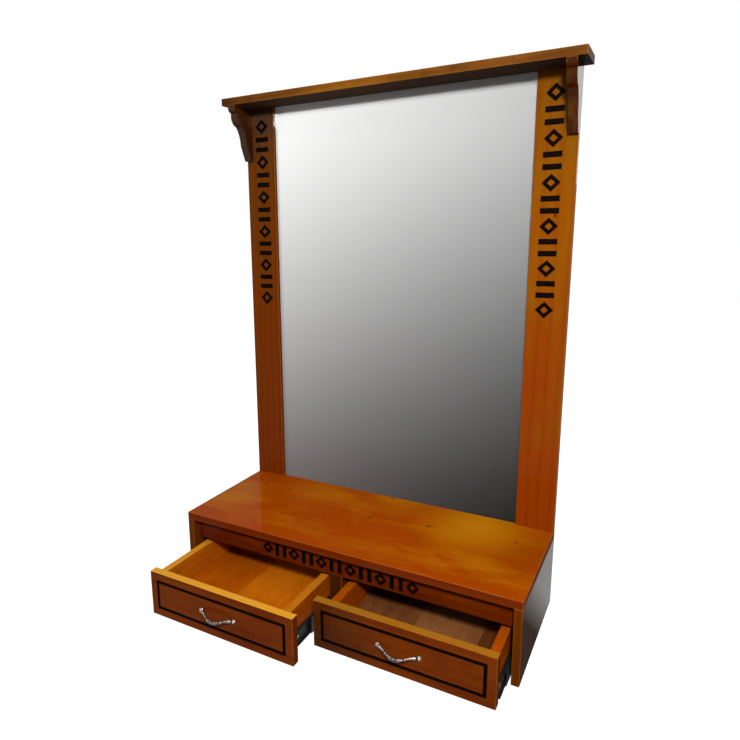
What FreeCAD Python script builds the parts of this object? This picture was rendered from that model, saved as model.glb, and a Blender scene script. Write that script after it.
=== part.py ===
"""Single-sided mirror station with a low counter, two drawers and a cornice shelf.

Frame: +Z up, +X to the sitter's right, +Y towards the wall. The origin is on the floor plane,
under the centre divider, in the middle of the counter's depth. All sizes are in millimetres.
Pieces are drawn with the drawers pushed in, then each drawer is slid out to its resting place.
"""

import FreeCAD
import Part
import math
import os

Vec = FreeCAD.Vector
X_AXIS = Vec(1, 0, 0)
Y_AXIS = Vec(0, 1, 0)
Z_AXIS = Vec(0, 0, 1)

# Counter and carcass
unit_width = 900.0
unit_depth = 358.0
counter_height = 200.0
top_thick = 20.0
panel_thick = 18.0
divider_thick = 32.0
edge_ease = 1.2

# How far a cutting shape runs past the face that it cuts
overcut = 1.0

apron_setback = 22.0
apron_thick = 18.0
apron_height = 57.0

rail_thick = 18.0
hanging_rail_height = 80.0
stretcher_height = 50.0
wall_hole_radius = 3.5
wall_hole_span = 640.0

# Mirror frame
post_width = 94.0
post_thick = 18.0
post_height = 1094.0
rebate_depth = 8.0
glass_lap = 8.0
backing_lap = 16.0
rebate_slack = 1.0
glass_thick = 4.0
glass_top_gap = 0.5
backing_thick = 3.0

# Cornice shelf and its brackets
cornice_thick = 19.0
cornice_overhang = 20.0
cornice_depth = 102.0
bracket_thick = 22.0
bracket_setback = 1.5
bracket_height = 142.0
bracket_toe = 12.0

# Sawn outline of a bracket: each point is its step back from the nose and its drop below the cornice
bracket_lip = (0.0, 7.0)
bracket_chin = (12.0, 19.0)
bracket_throat = (12.0, 32.0)
bracket_belly = (33.0, 53.0)
bracket_waist = (52.0, 101.0)
chin_bulge = 3.5
belly_bulge = 4.3
waist_hollow = 4.4

# Drawers
open_left = 176.0
open_right = 90.0
front_side_gap = 8.0
front_middle_gap = 1.0
closing_gap = 1.0
front_bottom = 2.0
front_height = 118.0
slide_gap = 12.7
box_board = 20.0
box_bottom_z = 17.0
box_height = 91.0
bottom_thick = 6.0
bottom_z = 34.0
bottom_tongue = 6.0

# Line routed round each drawer front
groove_inset = 20.0
groove_width = 7.0
groove_floor = 3.6
groove_depth = 2.4

# Telescopic slides
slide_back_gap = 17.0
slide_setback = 2.0
slide_centre_z = 32.0
slide_half_height = 22.5
slide_gauge = 1.2
slide_play = 0.3
cabinet_reach = 9.0
intermediate_web = 3.2
intermediate_reach = 11.2
drawer_member_lip = 7.5
extension_share = 0.5

# Bow handles
handle_pitch = 96.0
handle_z = 61.5
handle_reach = 24.0
handle_droop = 5.0
arm_radius = 2.7
grip_radius = 3.5
grip_half = 11.0
ring_radius = 4.6
ring_width = 2.4
ring_ease_share = 0.35
knuckle_radius = 4.2
knuckle_inset = 9.0
knuckle_reach = 6.0
foot_rise = 3.6
rosette_radius = 6.5
rosette_height = 7.0
shoulder_half = 14.0
shoulder_bend = 16.0
ankle_bend = 9.0

# Inlaid ornament on the posts and the apron
inlay_depth = 1.5
inlay_proud = 0.4
inlay_gap = 0.05
motif_count = 11
post_motif_width = 42.0
post_motif_length = 40.0
post_motif_pitch = 48.5
post_motif_inset = 32.0
post_motif_top_gap = 30.0
apron_motif_width = 34.0
apron_motif_length = 33.0
apron_motif_pitch = 40.0
apron_motif_level = 0.42
lozenge_hole = 0.42
bar_share = 0.32

# How much a diamond grows from corner to corner for each unit of gap along its sides
corner_gain = 3.0

# Fasteners
dowel_radius = 4.0
dowel_length = 30.0
dowel_in_face = 12.0
post_dowel_shares = (0.36, 0.79)
panel_dowel_inset = 40.0
divider_dowel_inset = 30.0
apron_dowel_share = 0.75
apron_end_shares = (0.3, 0.7)
hanging_rail_end_shares = (0.75, 0.25)
drawer_dowel_inset = 12.0
screw_fit = 0.05
cornice_screw = (2.5, 4.5, 50.0)
bracket_screw = (2.0, 4.0, 40.0)
backing_screw = (1.5, 3.0, 12.0)
hanger_screw = (1.5, 3.0, 14.0)
member_screw = (2.0, 3.5, 13.2)
member_head_thick = 1.5
member_screw_insets = (37.0, 41.0)
handle_screw = (2.0, 4.0, 26.0)
handle_head_thick = 2.4
handle_hole_radius = 2.3
handle_socket_spare = 0.5
backing_screw_rows = 6
backing_screw_inset = 60.0
bracket_screw_shares = (0.28, 0.66)
cornice_screw_share = 0.3

# Keyhole hanger plates let into the back of the posts
hanger_width = 20.0
hanger_height = 60.0
hanger_thick = 1.5
hanger_drop = 174.0
hanger_share = 0.42
keyhole_radius = 4.5
keyslot_radius = 2.3
keyslot_rise = 14.0
hanger_pocket_depth = 8.0
hanger_screw_pitch = 44.0

# Levels and planes that follow from the sizes above
half_width = unit_width / 2
front_y = -unit_depth / 2
back_y = unit_depth / 2
carcass_top = counter_height - top_thick
panel_inner = half_width - panel_thick
divider_half = divider_thick / 2
apron_y = front_y + apron_setback
apron_z = carcass_top - apron_height
rail_y = back_y - rail_thick
post_inner = half_width - post_width
post_y = back_y - post_thick
post_mid_y = back_y - post_thick / 2
rebate_y = back_y - rebate_depth
cornice_z = counter_height + post_height
cornice_y = back_y - cornice_depth
glass_half = post_inner + glass_lap
backing_half = post_inner + backing_lap
backing_y = rebate_y + glass_thick
hanger_centre_z = cornice_z - hanger_drop

front_in = front_middle_gap
front_out = panel_inner - front_side_gap
front_top = front_bottom + front_height
front_thick = apron_setback - closing_gap
box_y = front_y + front_thick
slide_y = box_y + slide_setback
slide_end = rail_y - slide_back_gap
slide_length = slide_end - slide_y
box_length = slide_length + 2 * slide_setback
box_in = divider_half + slide_gap
box_out = panel_inner - slide_gap
box_top = box_bottom_z + box_height
box_end = box_y + box_length
handle_x = (front_in + front_out) / 2

made = {}


def box(x, y, z):
    """A block between the pairs of x, y and z limits."""
    low = Vec(min(x), min(y), min(z))
    return Part.makeBox(abs(x[1] - x[0]), abs(y[1] - y[0]), abs(z[1] - z[0]), low)


def board(x, y, z, ease=edge_ease):
    """A board with all its edges eased; the easing never takes more than a fifth of its thickness."""
    block = box(x, y, z)
    thin = min(block.BoundBox.XLength, block.BoundBox.YLength, block.BoundBox.ZLength)
    return block.makeFillet(min(ease, thin / 5), block.Edges)


def rod(start, axis, radius, length):
    """A plain round bar from start along axis."""
    return Part.makeCylinder(radius, length, start, axis)


def countersunk(head, axis, size, fit=0.0):
    """A countersunk screw from the middle of its head along axis; fit opens it up into its hole."""
    shank, rim, length = size
    cone = Part.makeCone(rim + fit, shank + fit, rim - shank, head, axis)
    return rod(head, axis, shank + fit, length + fit).fuse(cone).removeSplitter()


def panhead(seat, axis, size, head_thick):
    """A pan head screw whose head sits on seat and whose shank runs along axis."""
    shank, rim, length = size
    head = rod(seat - axis * head_thick, axis, rim, head_thick)
    return rod(seat, axis, shank, length).fuse(head).removeSplitter()


def bored(shape, holes):
    """The shape with every hole that reaches it cut away."""
    for hole in holes:
        if shape.BoundBox.intersect(hole.BoundBox):
            shape = shape.cut(hole)
    return shape


def mirrored(shape):
    """The same shape on the other side of the middle plane."""
    return shape.mirror(Vec(0, 0, 0), X_AXIS)


def both_sides(shapes):
    """The shapes and their mirror images."""
    return shapes + [mirrored(shape) for shape in shapes]


def spread(low, high, count):
    """Evenly spaced values from low to high."""
    return [low + (high - low) * i / (count - 1) for i in range(count)]


def prism(points, y, depth):
    """A prism whose outline is given as (x, z) points, running back from y by depth."""
    corners = [Vec(px, y, pz) for px, pz in points]
    outline = Part.makePolygon(corners + corners[:1])
    return Part.Face(outline).extrude(Y_AXIS * depth)


# ---------------------------------------------------------------- fasteners of the frame

def dowels(points, axis, into_face):
    """Wooden dowels whose face-side end lies into_face behind each point against axis."""
    return [rod(p - axis * into_face, axis, dowel_radius, dowel_length) for p in points]


def dowel_holes(points, axis, into_face):
    """The holes for the same dowels."""
    radius = dowel_radius + screw_fit
    return [rod(p - axis * into_face, axis, radius, dowel_length) for p in points]


post_dowel_x = [post_inner + post_width * share for share in post_dowel_shares]
post_dowel_points = [Vec(s * x, post_mid_y, counter_height) for s in (-1, 1) for x in post_dowel_x]

top_dowel_points = [Vec(s * (half_width - panel_thick / 2), y, carcass_top)
                    for s in (-1, 1)
                    for y in spread(front_y + panel_dowel_inset, back_y - panel_dowel_inset, 4)]
top_dowel_points += [Vec(0, y, carcass_top)
                     for y in spread(apron_y + apron_thick + divider_dowel_inset,
                                rail_y - divider_dowel_inset, 3)]
top_dowel_points += [Vec(x, apron_y + apron_thick / 2, carcass_top)
                     for x in spread(-panel_inner * apron_dowel_share, panel_inner * apron_dowel_share, 4)]

rail_levels = [(apron_y + apron_thick / 2, apron_z + apron_height * share)
               for share in apron_end_shares]
rail_levels += [(back_y - rail_thick / 2, carcass_top - hanging_rail_height * share)
                for share in hanging_rail_end_shares]
rail_levels += [(back_y - rail_thick / 2, stretcher_height / 2)]
rail_dowel_points = [Vec(panel_inner, y, z) for y, z in rail_levels]

# Dowels stand dowel_in_face deep in the face they meet and the rest in the end grain.
post_dowels = dowels(post_dowel_points, Z_AXIS, dowel_in_face)
top_dowels = dowels(top_dowel_points, Z_AXIS * -1, dowel_in_face)
rail_dowels = both_sides(dowels(rail_dowel_points, X_AXIS * -1, dowel_in_face))
frame_holes = dowel_holes(post_dowel_points, Z_AXIS, dowel_in_face)
frame_holes += dowel_holes(top_dowel_points, Z_AXIS * -1, dowel_in_face)
frame_holes += both_sides(dowel_holes(rail_dowel_points, X_AXIS * -1, dowel_in_face))

bracket_mid_x = half_width - bracket_thick / 2
cornice_screw_points = [Vec(x, post_mid_y, cornice_z + cornice_thick) for x in post_dowel_x]
cornice_screw_points += [Vec(bracket_mid_x, post_y - bracket_height * cornice_screw_share,
                             cornice_z + cornice_thick)]
bracket_screw_points = [Vec(bracket_mid_x, back_y, cornice_z - bracket_height * share)
                        for share in bracket_screw_shares]
backing_screw_x = post_inner + (glass_lap + backing_lap) / 2
backing_screw_z = spread(counter_height + backing_screw_inset, cornice_z - backing_screw_inset,
                         backing_screw_rows)
backing_screw_points = [Vec(backing_screw_x, backing_y + backing_thick, z) for z in backing_screw_z]
hanger_x = half_width - post_width * hanger_share
hanger_screw_points = [Vec(hanger_x, back_y, hanger_centre_z + s * hanger_screw_pitch / 2)
                       for s in (-1, 1)]


def screw_group(points, axis, size, fit=0.0):
    """Countersunk screws at the points and at their mirror images."""
    return both_sides([countersunk(p, axis, size, fit) for p in points])


screw_rows = {
    "cornice_screws": (cornice_screw_points, Z_AXIS * -1, cornice_screw),
    "bracket_screws": (bracket_screw_points, Y_AXIS * -1, bracket_screw),
    "backing_screws": (backing_screw_points, Y_AXIS * -1, backing_screw),
    "hanger_screws": (hanger_screw_points, Y_AXIS * -1, hanger_screw),
}
for name, (points, axis, size) in screw_rows.items():
    made[name] = Part.makeCompound(screw_group(points, axis, size))
    frame_holes += screw_group(points, axis, size, screw_fit)
made["post_dowels"] = Part.makeCompound(post_dowels)
made["carcass_dowels"] = Part.makeCompound(top_dowels)
made["rail_dowels"] = Part.makeCompound(rail_dowels)


# ---------------------------------------------------------------- telescopic slides

def channel(wall_x, into, web, reach, half_height, y):
    """A C section: a web at web from the wall and two flanges that reach out from it.

    into is +1 or -1, the way from the wall into the gap. A reach below web turns the C round.
    """
    web_out = web + slide_gauge
    low, high = min(web, reach), max(web_out, reach)
    whole = box((wall_x + into * low, wall_x + into * high), y, (-half_height, half_height))
    inner = half_height - slide_gauge
    if reach > web:
        hollow_x = (wall_x + into * web_out, wall_x + into * (high + overcut))
    else:
        hollow_x = (wall_x + into * (low - overcut), wall_x + into * web)
    hollow = box(hollow_x, (y[0] - overcut, y[1] + overcut), (-inner, inner))
    section = whole.cut(hollow)
    section.translate(Z_AXIS * slide_centre_z)
    return section


member_screw_y = (slide_y + member_screw_insets[0], slide_end - member_screw_insets[1])


def slide_members(wall_x, into):
    """Cabinet, intermediate and drawer member of one closed slide."""
    y = (slide_y, slide_end)
    middle_half = slide_half_height - slide_gauge - slide_play
    inner_half = middle_half - slide_gauge - slide_play
    cabinet = channel(wall_x, into, 0.0, cabinet_reach, slide_half_height, y)
    middle = channel(wall_x, into, intermediate_web, intermediate_reach, middle_half, y)
    web = slide_gap - slide_gauge
    drawer = channel(wall_x, into, web, slide_gap - drawer_member_lip, inner_half, y)
    return cabinet, middle, drawer


def member_screws(seat_x, away):
    """The two screws of one member: heads on seat_x, shanks running towards away."""
    seats = [Vec(seat_x, y, slide_centre_z) for y in member_screw_y]
    return [panhead(seat, X_AXIS * away, member_screw, member_head_thick) for seat in seats]


def member_holes(seat_x, away):
    """The holes for the shanks of the same screws."""
    shank, rim, length = member_screw
    seats = [Vec(seat_x, y, slide_centre_z) for y in member_screw_y]
    return [rod(seat, X_AXIS * away, shank + screw_fit, length + screw_fit) for seat in seats]


# Each slide is named for its drawer and for the side of the drawer that it carries.
slides = {
    ("left", "outer"): (-panel_inner, 1),
    ("left", "inner"): (-divider_half, -1),
    ("right", "outer"): (panel_inner, -1),
    ("right", "inner"): (divider_half, 1),
}
cabinet_screws = []
cabinet_holes = []
for wall_x, into in slides.values():
    cabinet_screws += member_screws(wall_x + into * slide_gauge, -into)
    cabinet_holes += member_holes(wall_x + into * slide_gauge, -into)
made["cabinet_member_screws"] = Part.makeCompound(cabinet_screws)
frame_holes += cabinet_holes


# ---------------------------------------------------------------- inlaid ornament

def lozenge(u, v, width, length):
    """A diamond outline about (u, v)."""
    return [(u - width / 2, v), (u, v - length / 2), (u + width / 2, v), (u, v + length / 2)]


def rectangle(u, v, width, length):
    """A rectangular outline about (u, v)."""
    left, right = u - width / 2, u + width / 2
    low, high = v - length / 2, v + length / 2
    return [(left, low), (right, low), (right, high), (left, high)]


def chain(u, v_start, pitch, width, length, y, depth, swap, grow=0.0):
    """Open diamonds and pairs of bars in turn; swap lays the chain along X instead of Z."""
    pieces = []

    def cut_out(outline):
        points = [(b, a) for a, b in outline] if swap else outline
        return prism(points, y, depth)

    for i in range(motif_count):
        v = v_start + i * pitch
        if i % 2 == 0:
            gain = grow * corner_gain
            ring = cut_out(lozenge(u, v, width + gain, length + gain))
            hole = cut_out(lozenge(u, v, width * lozenge_hole - gain, length * lozenge_hole - gain))
            pieces.append(ring.cut(hole))
        else:
            bar = length * bar_share
            for side in (-1, 1):
                centre = v + side * (length - bar) / 2
                pieces.append(cut_out(rectangle(u, centre, width + grow * 2, bar + grow * 2)))
    return pieces


post_chain = (half_width - post_motif_inset - post_motif_width / 2,
              cornice_z - post_motif_top_gap - post_motif_length / 2, -post_motif_pitch,
              post_motif_width, post_motif_length)
apron_chain = (apron_z + apron_height * apron_motif_level, -apron_motif_pitch * (motif_count - 1) / 2,
               apron_motif_pitch, apron_motif_width, apron_motif_length)


def inlay(place, face_y, swap):
    """The strips of an inlay, which stand a little proud of the face."""
    return chain(*place, face_y - inlay_proud, inlay_depth + inlay_proud, swap)


def inlay_pockets(place, face_y, swap):
    """The shallow pockets that hold them."""
    return chain(*place, face_y - overcut, inlay_depth + overcut, swap, inlay_gap)


right_inlay = inlay(post_chain, post_y, False)
made["right_post_inlay"] = Part.makeCompound(right_inlay)
made["left_post_inlay"] = Part.makeCompound([mirrored(piece) for piece in right_inlay])
made["apron_inlay"] = Part.makeCompound(inlay(apron_chain, apron_y, True))


# ---------------------------------------------------------------- carcass

def top_board():
    """The counter top, which covers the carcass to its edges."""
    return board((-half_width, half_width), (front_y, back_y), (carcass_top, counter_height))


def side_panel():
    """The right side panel; the left one is its mirror image."""
    return board((panel_inner, half_width), (front_y, back_y), (0, carcass_top))


def centre_divider():
    """The divider that stands between the drawers, notched behind the apron."""
    body = board((-divider_half, divider_half), (apron_y, rail_y), (0, carcass_top))
    notch = box((-divider_half - overcut, divider_half + overcut),
                (apron_y - overcut, apron_y + apron_thick), (apron_z, carcass_top + overcut))
    return body.cut(notch)


def apron_rail():
    """The rail under the counter's front edge, with pockets for its inlay."""
    body = board((-panel_inner, panel_inner), (apron_y, apron_y + apron_thick), (apron_z, carcass_top))
    return bored(body, inlay_pockets(apron_chain, apron_y, True))


def rear_rail(low, high):
    """A rail across the back with two wall screw holes."""
    body = board((-panel_inner, panel_inner), (rail_y, back_y), (low, high))
    level = (low + high) / 2
    holes = [rod(Vec(s * wall_hole_span / 2, rail_y - overcut, level), Y_AXIS, wall_hole_radius,
                 rail_thick + 2 * overcut) for s in (-1, 1)]
    return bored(body, holes)


made["top_board"] = bored(top_board(), frame_holes)
made["right_side_panel"] = bored(side_panel(), frame_holes)
made["left_side_panel"] = bored(mirrored(side_panel()), frame_holes)
made["centre_divider"] = bored(centre_divider(), frame_holes)
made["apron_rail"] = bored(apron_rail(), frame_holes)
made["hanging_rail"] = bored(rear_rail(carcass_top - hanging_rail_height, carcass_top), frame_holes)
made["rear_stretcher"] = bored(rear_rail(0, stretcher_height), frame_holes)


# ---------------------------------------------------------------- mirror frame and cornice

def keyhole(depth, widen=0.0):
    """The keyhole opening, round below and slotted upwards, from the back face inwards."""
    start = Vec(hanger_x, back_y - depth, hanger_centre_z - keyslot_rise / 2)
    top = start + Z_AXIS * keyslot_rise
    entry = rod(start, Y_AXIS, keyhole_radius + widen, depth + overcut)
    end = rod(top, Y_AXIS, keyslot_radius + widen, depth + overcut)
    slot = box((hanger_x - keyslot_radius - widen, hanger_x + keyslot_radius + widen),
               (start.y, back_y + overcut), (start.z, top.z))
    return entry.fuse(end).fuse(slot)


def hanger_plate():
    """A steel plate that hooks over a screw head in the wall."""
    plate = box((hanger_x - hanger_width / 2, hanger_x + hanger_width / 2),
                (back_y - hanger_thick, back_y),
                (hanger_centre_z - hanger_height / 2, hanger_centre_z + hanger_height / 2))
    return bored(plate.cut(keyhole(hanger_thick)), frame_holes)


def post():
    """The right post, rebated at the back for the glass and its backing."""
    body = board((post_inner, half_width), (post_y, back_y), (counter_height, cornice_z))
    rebate = box((post_inner - overcut, post_inner + backing_lap + rebate_slack),
                 (rebate_y, back_y + overcut), (counter_height - overcut, cornice_z + overcut))
    seat = box((hanger_x - hanger_width / 2, hanger_x + hanger_width / 2),
               (back_y - hanger_thick, back_y + overcut),
               (hanger_centre_z - hanger_height / 2, hanger_centre_z + hanger_height / 2))
    head_room = keyhole(hanger_pocket_depth, keyhole_radius - keyslot_radius)
    return bored(body.cut(rebate).cut(seat).cut(head_room), inlay_pockets(post_chain, post_y, False))


def bracket():
    """The right bracket: a nose, a rounded belly, a hollow and a toe, sawn from one board."""
    nose = cornice_depth - post_thick - bracket_setback

    def at(step, drop):
        return Vec(half_width - bracket_thick, post_y - nose + step, cornice_z - drop)

    def curve(start, end, bulge):
        """An arc from start to end that stands out by bulge, or dips in where bulge is negative."""
        chord = at(*end) - at(*start)
        across = chord.cross(X_AXIS).normalize()
        return Part.Arc(at(*start), (at(*start) + at(*end)) / 2 + across * bulge, at(*end))

    root = (nose, bracket_height)
    toe = (nose - bracket_toe, bracket_height)
    edges = [Part.LineSegment(at(nose, 0), at(0, 0)),
             Part.LineSegment(at(0, 0), at(*bracket_lip)),
             curve(bracket_lip, bracket_chin, chin_bulge),
             Part.LineSegment(at(*bracket_chin), at(*bracket_throat)),
             curve(bracket_throat, bracket_belly, belly_bulge),
             curve(bracket_belly, bracket_waist, -waist_hollow),
             Part.LineSegment(at(*bracket_waist), at(*toe)),
             Part.LineSegment(at(*toe), at(*root)),
             Part.LineSegment(at(*root), at(nose, 0))]
    outline = Part.Wire([edge.toShape() for edge in edges])
    return Part.Face(outline).extrude(X_AXIS * bracket_thick)


def cornice_board():
    """The shelf board that caps the posts."""
    reach = half_width + cornice_overhang
    return board((-reach, reach), (cornice_y, back_y), (cornice_z, cornice_z + cornice_thick))


made["mirror_glass"] = box((-glass_half, glass_half), (rebate_y, backing_y),
                           (counter_height, cornice_z - glass_top_gap))
made["mirror_backing"] = bored(box((-backing_half, backing_half), (backing_y, backing_y + backing_thick),
                                   (counter_height, cornice_z - glass_top_gap)), frame_holes)
made["right_post"] = bored(post(), frame_holes)
made["left_post"] = bored(mirrored(post()), frame_holes)
made["right_bracket"] = bored(bracket(), frame_holes)
made["left_bracket"] = bored(mirrored(bracket()), frame_holes)
made["cornice_board"] = bored(cornice_board(), frame_holes)
plate = hanger_plate()
made["keyhole_hangers"] = Part.makeCompound([plate, mirrored(plate)])


# ---------------------------------------------------------------- handles

def bow_handle():
    """A bow handle: rosettes, knuckles, slim arms and a ringed grip, about the middle of a front."""

    def at(x, out):
        return Vec(handle_x + x, front_y - out, handle_z - handle_droop * (out / handle_reach) ** 2)

    half = handle_pitch / 2
    route = [at(-half, foot_rise), at(-half + knuckle_inset, knuckle_reach),
             at(-shoulder_half, handle_reach), at(shoulder_half, handle_reach),
             at(half - knuckle_inset, knuckle_reach), at(half, foot_rise)]
    path = rounded_path(route, [0, ankle_bend, shoulder_bend, shoulder_bend, ankle_bend, 0])
    circle = Part.Wire([Part.makeCircle(arm_radius, route[0], route[1] - route[0])])
    bow = path.makePipeShell([circle], True, True)
    for side in (-1, 1):
        foot = at(side * half, 0)
        ball = Part.makeSphere(rosette_height, foot)
        dome = ball.common(rod(foot, Y_AXIS * -1, rosette_radius, rosette_height))
        knuckle = Part.makeSphere(knuckle_radius, at(side * (half - knuckle_inset), knuckle_reach), Y_AXIS)
        bow = bow.fuse([dome, knuckle])
    grip = rod(at(-grip_half, handle_reach), X_AXIS, grip_radius, 2 * grip_half)
    rings = [rod(at(x - ring_width / 2, handle_reach), X_AXIS, ring_radius, ring_width)
             for x in (-grip_half, 0, grip_half)]
    rings = [ring.makeFillet(ring_width * ring_ease_share, ring.Edges[:1] + ring.Edges[2:])
             for ring in rings]
    bow = bow.fuse([grip] + rings)
    shank, rim, length = handle_screw
    depth = overcut + length - front_thick + handle_socket_spare
    sockets = [rod(Vec(handle_x + side * half, front_y + overcut, handle_z), Y_AXIS * -1,
                   shank + screw_fit, depth) for side in (-1, 1)]
    return bored(bow, sockets)


def rounded_path(points, radii):
    """Straight runs through the points, joined by tangent arcs of the given radii."""
    edges = []
    last = points[0]
    for i in range(1, len(points) - 1):
        before = (points[i] - points[i - 1]).normalize()
        after = (points[i + 1] - points[i]).normalize()
        turn = before.getAngle(after)
        back = radii[i] * math.tan(turn / 2)
        start = points[i] - before * back
        end = points[i] + after * back
        bisector = (after - before).normalize()
        centre = points[i] + bisector * (radii[i] / math.cos(turn / 2))
        middle = centre - bisector * radii[i]
        edges.append(Part.LineSegment(last, start).toShape())
        edges.append(Part.Arc(start, middle, end).toShape())
        last = end
    edges.append(Part.LineSegment(last, points[-1]).toShape())
    return Part.Wire(edges)


# ---------------------------------------------------------------- drawers

def rectangle_wire(x, z, y):
    """A rectangular wire between the x and z limits on the plane y."""
    corners = [Vec(x[0], y, z[0]), Vec(x[1], y, z[0]), Vec(x[1], y, z[1]), Vec(x[0], y, z[1])]
    return Part.makePolygon(corners + corners[:1])


def tapered(x, z, slope):
    """A block that starts on the drawer front's face and widens by slope at the groove's floor."""
    face = rectangle_wire(x, z, front_y)
    floor = rectangle_wire((x[0] - slope, x[1] + slope), (z[0] - slope, z[1] + slope),
                           front_y + groove_depth)
    return Part.makeLoft([face, floor], True, True)


def groove():
    """The routed line: sloping walls and a flat floor, mitred at the corners."""
    slope = (groove_width - groove_floor) / 2
    outer_x = (front_in + groove_inset, front_out - groove_inset)
    outer_z = (front_bottom + groove_inset, front_top - groove_inset)
    inner_x = (outer_x[0] + groove_width, outer_x[1] - groove_width)
    inner_z = (outer_z[0] + groove_width, outer_z[1] - groove_width)
    return tapered(outer_x, outer_z, -slope).cut(tapered(inner_x, inner_z, slope))


def drawer_dowel_rods(radius):
    """Dowels that join the sides to the front and the back to the sides."""
    rods = []
    for x in (box_in + box_board / 2, box_out - box_board / 2):
        for z in spread(box_bottom_z + drawer_dowel_inset, box_top - drawer_dowel_inset, 3):
            if abs(z - bottom_z) > dowel_radius:
                rods.append(rod(Vec(x, box_y - dowel_in_face, z), Y_AXIS, radius, dowel_length))
    for x, into in ((box_in + box_board, 1), (box_out - box_board, -1)):
        for z in (bottom_z + bottom_thick + drawer_dowel_inset, box_top - drawer_dowel_inset):
            start = Vec(x - into * dowel_in_face, box_end - box_board / 2, z)
            rods.append(rod(start, X_AXIS * into, radius, dowel_length))
    return rods


def drawer_pieces():
    """Every piece of the right drawer, pushed in, by name."""
    inner_x = (box_in + box_board, box_out - box_board)
    end_y = box_end - box_board
    panel = box((inner_x[0] - bottom_tongue, inner_x[1] + bottom_tongue),
                (box_y - bottom_tongue, end_y + bottom_tongue), (bottom_z, bottom_z + bottom_thick))
    screw_x = [handle_x + side * handle_pitch / 2 for side in (-1, 1)]
    handle_holes = [rod(Vec(x, front_y - overcut, handle_z), Y_AXIS, handle_hole_radius,
                        front_thick + 2 * overcut) for x in screw_x]
    drawer_holes = drawer_dowel_rods(dowel_radius + screw_fit)
    seats = ((box_in - slide_gauge, 1), (box_out + slide_gauge, -1))
    for seat_x, away in seats:
        drawer_holes += member_holes(seat_x, away)

    def carved(shape):
        return bored(shape, [panel] + drawer_holes)

    front = board((front_in, front_out), (front_y, box_y), (front_bottom, front_top))
    box_z = (box_bottom_z, box_top)
    pieces = {
        "front": carved(bored(front, [groove()] + handle_holes)),
        "inner_side": carved(board((box_in, box_in + box_board), (box_y, box_end), box_z)),
        "outer_side": carved(board((box_out - box_board, box_out), (box_y, box_end), box_z)),
        "back": carved(board(inner_x, (end_y, box_end), box_z)),
        "bottom": panel,
        "dowels": Part.makeCompound(drawer_dowel_rods(dowel_radius)),
        "handle": bow_handle(),
        "handle_screws": Part.makeCompound([
            panhead(Vec(x, box_y, handle_z), Y_AXIS * -1, handle_screw, handle_head_thick)
            for x in screw_x]),
        "member_screws": Part.makeCompound(
            [screw for seat_x, away in seats for screw in member_screws(seat_x, away)]),
    }
    return pieces


drawer_set = drawer_pieces()
for side, opened in (("left", open_left), ("right", open_right)):
    for name, shape in drawer_set.items():
        placed = mirrored(shape) if side == "left" else shape.copy()
        placed.translate(Y_AXIS * -opened)
        made[f"{side}_drawer_{name}"] = placed
for (side, place), (wall_x, into) in slides.items():
    opened = open_left if side == "left" else open_right
    cabinet, middle, drawer = slide_members(wall_x, into)
    cabinet = bored(cabinet, cabinet_holes)
    drawer = bored(drawer, both_sides(member_holes(box_in - slide_gauge, 1)
                                      + member_holes(box_out + slide_gauge, -1)))
    middle.translate(Y_AXIS * -(opened * extension_share))
    drawer.translate(Y_AXIS * -opened)
    made[f"{side}_{place}_cabinet_member"] = cabinet
    made[f"{side}_{place}_intermediate_member"] = middle
    made[f"{side}_{place}_drawer_member"] = drawer

os.makedirs("parts", exist_ok=True)
for node, shape in made.items():
    shape.exportStep(f"parts/{node}.step")
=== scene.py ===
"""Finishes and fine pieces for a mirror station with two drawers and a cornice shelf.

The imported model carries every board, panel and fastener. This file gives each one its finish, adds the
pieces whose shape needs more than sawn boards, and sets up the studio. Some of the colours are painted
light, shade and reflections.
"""

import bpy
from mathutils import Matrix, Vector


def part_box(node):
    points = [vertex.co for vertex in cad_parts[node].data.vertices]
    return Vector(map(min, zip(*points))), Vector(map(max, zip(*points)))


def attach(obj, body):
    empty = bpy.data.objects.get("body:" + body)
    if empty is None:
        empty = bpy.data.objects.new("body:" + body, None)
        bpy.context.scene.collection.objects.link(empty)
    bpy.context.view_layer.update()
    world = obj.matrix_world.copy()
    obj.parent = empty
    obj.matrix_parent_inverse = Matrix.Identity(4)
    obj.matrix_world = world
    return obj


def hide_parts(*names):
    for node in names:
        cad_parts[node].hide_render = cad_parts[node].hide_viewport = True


bl_info = {
    "name": "Mirror Station Dresser",
    "version": (1, 0, 0),
    "blender": (4, 5, 0),
    "location": "View3D > Sidebar > Mirror Station",
    "description": "Stained boards, silvered glass, cast handles and studio for a mirror station",
    "category": "Object",
}

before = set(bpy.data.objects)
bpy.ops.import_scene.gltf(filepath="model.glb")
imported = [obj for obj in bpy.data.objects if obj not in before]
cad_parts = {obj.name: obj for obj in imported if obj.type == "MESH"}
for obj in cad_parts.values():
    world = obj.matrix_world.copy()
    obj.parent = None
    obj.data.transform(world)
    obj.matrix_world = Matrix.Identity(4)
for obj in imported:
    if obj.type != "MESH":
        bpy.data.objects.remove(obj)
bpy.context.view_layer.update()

import math

import bmesh
import bpy
from bpy.props import FloatProperty, FloatVectorProperty, IntProperty, PointerProperty
from mathutils import Matrix, Vector

MM = 0.001
FULL_TURN = 2 * math.pi
UP, DOWN, LEFT, RIGHT, FORWARD, BACKWARD = (
    (0, 0, 1), (0, 0, -1), (-1, 0, 0), (1, 0, 0), (0, -1, 0), (0, 1, 0))

# Distance up to which points count as in one place when they are put in order
FINEST = 0.001 * MM

# Numbers of the sockets on a colour mix node: its share, its two colours and its result
SHARE, FIRST, SECOND, MIXED = 0, 6, 7, 2

# Range in which nearly all the values of a noise pattern lie
NOISE_LOW, NOISE_HIGH = 0.3, 0.7


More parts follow.
